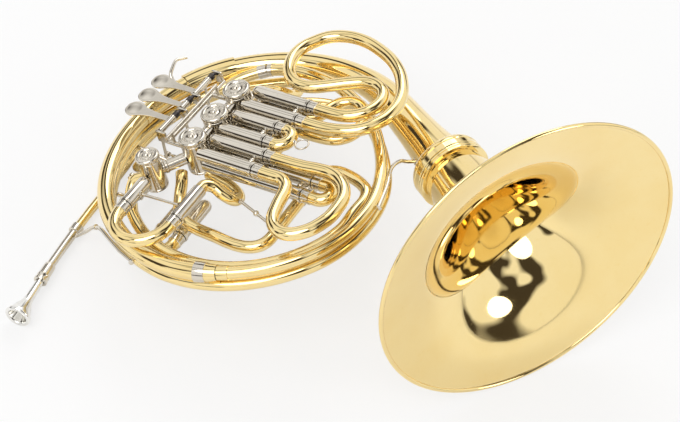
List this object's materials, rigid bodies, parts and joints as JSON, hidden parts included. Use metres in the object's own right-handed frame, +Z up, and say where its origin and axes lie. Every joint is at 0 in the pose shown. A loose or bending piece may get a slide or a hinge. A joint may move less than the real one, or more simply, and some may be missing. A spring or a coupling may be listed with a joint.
{
  "type": "double french horn",
  "caption": "Coiled double horn with a detachable flared bell, rotary valves with finger and thumb levers, pull-out tuning slides and a funnel mouthpiece.",
  "frame": {"origin": "bottom centre of the whole horn's box, on the table it rests on", "axes": "+Z up; the horn lies with its valve caps up; +X towards the bell's mouth, +Y across the coil from the mouthpiece to the bell"},
  "size_m": [0.4514, 0.586, 0.3054],
  "materials": {
    "bb_slide_1_crook": "polished lacquered brass",
    "bb_slide_1_sleeves": "polished nickel silver",
    "bb_slide_2_crook": "polished lacquered brass",
    "bb_slide_2_sleeves": "polished nickel silver",
    "bb_slide_3_crook": "polished lacquered brass",
    "bb_slide_3_sleeves": "polished nickel silver",
    "bell_brace": "polished nickel silver",
    "bell_branch": "polished lacquered brass",
    "bell_flare": "polished lacquered brass",
    "bell_screw_ring": "polished lacquered brass",
    "bell_tail": "polished lacquered brass",
    "branch_ferrule": "polished nickel silver",
    "casing_1": "polished nickel silver",
    "casing_2": "polished nickel silver",
    "casing_3": "polished nickel silver",
    "change_cap": "polished nickel silver",
    "change_casing": "polished nickel silver",
    "change_rotor": "polished nickel silver",
    "cross_brace": "polished nickel silver",
    "crossover_tube": "polished lacquered brass",
    "f_branch": "polished lacquered brass",
    "f_slide_1_crook": "polished lacquered brass",
    "f_slide_1_sleeves": "polished nickel silver",
    "f_slide_2_crook": "polished lacquered brass",
    "f_slide_2_sleeves": "polished nickel silver",
    "f_slide_3_crook": "polished lacquered brass",
    "f_slide_3_sleeves": "polished nickel silver",
    "finger_hook": "polished nickel silver",
    "hand_guard": "polished lacquered brass",
    "inner_coil_tube": "polished lacquered brass",
    "leadpipe": "polished lacquered brass",
    "leadpipe_brace": "polished nickel silver",
    "lever_1": "polished nickel silver",
    "lever_2": "polished nickel silver",
    "lever_3": "polished nickel silver",
    "lever_frame": "polished nickel silver",
    "link_1": "polished nickel silver",
    "link_2": "polished nickel silver",
    "link_3": "polished nickel silver",
    "main_elbow": "polished lacquered brass",
    "main_slide_crook": "polished lacquered brass",
    "main_slide_sleeves": "polished nickel silver",
    "mouthpiece": "polished silver plate",
    "mouthpiece_receiver": "polished nickel silver",
    "outer_coil_tube": "polished lacquered brass",
    "rear_slide_crook": "polished lacquered brass",
    "rear_slide_sleeves": "polished nickel silver",
    "rotor_1": "polished nickel silver",
    "rotor_2": "polished nickel silver",
    "rotor_3": "polished nickel silver",
    "spring_1": "blued spring steel",
    "spring_2": "blued spring steel",
    "spring_3": "blued spring steel",
    "thumb_bracket": "polished nickel silver",
    "thumb_lever": "polished nickel silver",
    "thumb_link": "polished nickel silver",
    "thumb_spring": "blued spring steel",
    "valve_cap_1": "polished nickel silver",
    "valve_cap_2": "polished nickel silver",
    "valve_cap_3": "polished nickel silver"
  },
  "bodies": {
    "horn": {"bb_slide_1_sleeves": "bb_slide_1_sleeves", "bb_slide_2_sleeves": "bb_slide_2_sleeves", "bb_slide_3_sleeves": "bb_slide_3_sleeves", "bell_brace": "bell_brace", "bell_branch": "bell_branch", "bell_screw_ring": "bell_screw_ring", "bell_tail": "bell_tail", "branch_ferrule": "branch_ferrule", "casing_1": "casing_1", "casing_2": "casing_2", "casing_3": "casing_3", "change_cap": "change_cap", "change_casing": "change_casing", "cross_brace": "cross_brace", "crossover_tube": "crossover_tube", "f_branch": "f_branch", "f_slide_1_sleeves": "f_slide_1_sleeves", "f_slide_2_sleeves": "f_slide_2_sleeves", "f_slide_3_sleeves": "f_slide_3_sleeves", "finger_hook": "finger_hook", "hand_guard": "hand_guard", "inner_coil_tube": "inner_coil_tube", "leadpipe": "leadpipe", "leadpipe_brace": "leadpipe_brace", "lever_frame": "lever_frame", "main_elbow": "main_elbow", "main_slide_sleeves": "main_slide_sleeves", "mouthpiece_receiver": "mouthpiece_receiver", "outer_coil_tube": "outer_coil_tube", "rear_slide_sleeves": "rear_slide_sleeves", "spring_1": "spring_1", "spring_2": "spring_2", "spring_3": "spring_3", "thumb_bracket": "thumb_bracket", "thumb_spring": "thumb_spring", "valve_cap_1": "valve_cap_1", "valve_cap_2": "valve_cap_2", "valve_cap_3": "valve_cap_3"},
    "bell_flare": {"bell_flare": "bell_flare"},
    "mouthpiece": {"mouthpiece": "mouthpiece"},
    "f_slide_1_crook": {"f_slide_1_crook": "f_slide_1_crook"},
    "f_slide_2_crook": {"f_slide_2_crook": "f_slide_2_crook"},
    "f_slide_3_crook": {"f_slide_3_crook": "f_slide_3_crook"},
    "bb_slide_1_crook": {"bb_slide_1_crook": "bb_slide_1_crook"},
    "bb_slide_2_crook": {"bb_slide_2_crook": "bb_slide_2_crook"},
    "bb_slide_3_crook": {"bb_slide_3_crook": "bb_slide_3_crook"},
    "main_slide_crook": {"main_slide_crook": "main_slide_crook"},
    "rear_slide_crook": {"rear_slide_crook": "rear_slide_crook"},
    "lever_1": {"lever_1": "lever_1"},
    "rotor_1": {"rotor_1": "rotor_1"},
    "link_1": {"link_1": "link_1"},
    "lever_2": {"lever_2": "lever_2"},
    "rotor_2": {"rotor_2": "rotor_2"},
    "link_2": {"link_2": "link_2"},
    "lever_3": {"lever_3": "lever_3"},
    "rotor_3": {"rotor_3": "rotor_3"},
    "link_3": {"link_3": "link_3"},
    "thumb_lever": {"thumb_lever": "thumb_lever"},
    "change_rotor": {"change_rotor": "change_rotor"},
    "thumb_link": {"thumb_link": "thumb_link"}
  },
  "joints": [
    {"name": "bell_slide", "type": "slide", "parent": "horn", "child": "bell_flare", "axis": [0.9757, 0.0192, 0.2183], "range_m": [0, 0.02]},
    {"name": "mouthpiece_slide", "type": "slide", "parent": "horn", "child": "mouthpiece", "axis": [0.661, -0.7492, 0.0413], "range_m": [0, 0.02]},
    {"name": "f_slide_1_pull", "type": "slide", "parent": "horn", "child": "f_slide_1_crook", "axis": [0.8072, 0.4656, 0.3629], "range_m": [0, 0.022]},
    {"name": "f_slide_2_pull", "type": "slide", "parent": "horn", "child": "f_slide_2_crook", "axis": [0.8072, 0.4656, 0.3629], "range_m": [0, 0.022]},
    {"name": "f_slide_3_pull", "type": "slide", "parent": "horn", "child": "f_slide_3_crook", "axis": [0.8072, 0.4656, 0.3629], "range_m": [0, 0.022]},
    {"name": "bb_slide_1_pull", "type": "slide", "parent": "horn", "child": "bb_slide_1_crook", "axis": [0.8072, 0.4656, 0.3629], "range_m": [0, 0.022]},
    {"name": "bb_slide_2_pull", "type": "slide", "parent": "horn", "child": "bb_slide_2_crook", "axis": [0.8072, 0.4656, 0.3629], "range_m": [0, 0.022]},
    {"name": "bb_slide_3_pull", "type": "slide", "parent": "horn", "child": "bb_slide_3_crook", "axis": [0.8072, 0.4656, 0.3629], "range_m": [0, 0.022]},
    {"name": "main_slide_pull", "type": "slide", "parent": "horn", "child": "main_slide_crook", "axis": [0.5399, -0.8417, -0.0104], "range_m": [0, 0.022]},
    {"name": "rear_slide_pull", "type": "slide", "parent": "horn", "child": "rear_slide_crook", "axis": [0.5399, -0.8417, -0.0104], "range_m": [0, 0.022]},
    {"name": "lever_1_press", "type": "hinge", "parent": "horn", "child": "lever_1", "pos_m": [-0.12359, -0.09043, 0.08123], "axis": [0.5079, -0.8611, -0.025], "range_deg": [0, 16], "stiffness_Nm_per_rad": 0.03, "springref_deg": -22.92},
    {"name": "rotor_1_turn", "type": "hinge", "parent": "horn", "child": "rotor_1", "pos_m": [-0.07519, -0.06851, 0.06947], "axis": [0.3009, 0.2045, -0.9315], "range_deg": [-1, 91]},
    {"name": "link_1_swing", "type": "hinge", "parent": "lever_1", "child": "link_1", "pos_m": [-0.1169, -0.08547, 0.04621], "axis": [0.5079, -0.8611, -0.025], "range_deg": [-16, 1]},
    {"name": "lever_2_press", "type": "hinge", "parent": "horn", "child": "lever_2", "pos_m": [-0.14238, -0.05857, 0.08216], "axis": [0.5079, -0.8611, -0.025], "range_deg": [0, 16], "stiffness_Nm_per_rad": 0.03, "springref_deg": -22.92},
    {"name": "rotor_2_turn", "type": "hinge", "parent": "horn", "child": "rotor_2", "pos_m": [-0.09398, -0.03665, 0.0704], "axis": [0.3009, 0.2045, -0.9315], "range_deg": [-1, 91]},
    {"name": "link_2_swing", "type": "hinge", "parent": "lever_2", "child": "link_2", "pos_m": [-0.1357, -0.05361, 0.04713], "axis": [0.5079, -0.8611, -0.025], "range_deg": [-16, 1]},
    {"name": "lever_3_press", "type": "hinge", "parent": "horn", "child": "lever_3", "pos_m": [-0.16117, -0.02671, 0.08308], "axis": [0.5079, -0.8611, -0.025], "range_deg": [0, 16], "stiffness_Nm_per_rad": 0.03, "springref_deg": -22.92},
    {"name": "rotor_3_turn", "type": "hinge", "parent": "horn", "child": "rotor_3", "pos_m": [-0.11277, -0.00479, 0.07132], "axis": [0.3009, 0.2045, -0.9315], "range_deg": [-1, 91]},
    {"name": "link_3_swing", "type": "hinge", "parent": "lever_3", "child": "link_3", "pos_m": [-0.15449, -0.02175, 0.04806], "axis": [0.5079, -0.8611, -0.025], "range_deg": [-16, 1]},
    {"name": "thumb_lever_press", "type": "hinge", "parent": "horn", "child": "thumb_lever", "pos_m": [-0.0996, -0.11939, 0.01821], "axis": [-0.5079, 0.8611, 0.025], "range_deg": [0, 23.8], "stiffness_Nm_per_rad": 0.03, "springref_deg": -22.92},
    {"name": "change_rotor_turn", "type": "hinge", "parent": "horn", "child": "change_rotor", "pos_m": [-0.07717, -0.11431, 0.05878], "axis": [0.3009, 0.2045, -0.9315], "range_deg": [-1, 91]},
    {"name": "thumb_link_swing", "type": "hinge", "parent": "thumb_lever", "child": "thumb_link", "pos_m": [-0.11066, -0.1265, 0.03829], "axis": [-0.5079, 0.8611, 0.025], "range_deg": [-23.8, 0]}
  ],
  "couplings": [
    {"joint": "rotor_1_turn", "follows": "lever_1_press", "ratio": 5.625},
    {"joint": "link_1_swing", "follows": "lever_1_press", "ratio": -1},
    {"joint": "rotor_2_turn", "follows": "lever_2_press", "ratio": 5.625},
    {"joint": "link_2_swing", "follows": "lever_2_press", "ratio": -1},
    {"joint": "rotor_3_turn", "follows": "lever_3_press", "ratio": 5.625},
    {"joint": "link_3_swing", "follows": "lever_3_press", "ratio": -1},
    {"joint": "change_rotor_turn", "follows": "thumb_lever_press", "ratio": 3.7815},
    {"joint": "thumb_link_swing", "follows": "thumb_lever_press", "ratio": -1}
  ]
}
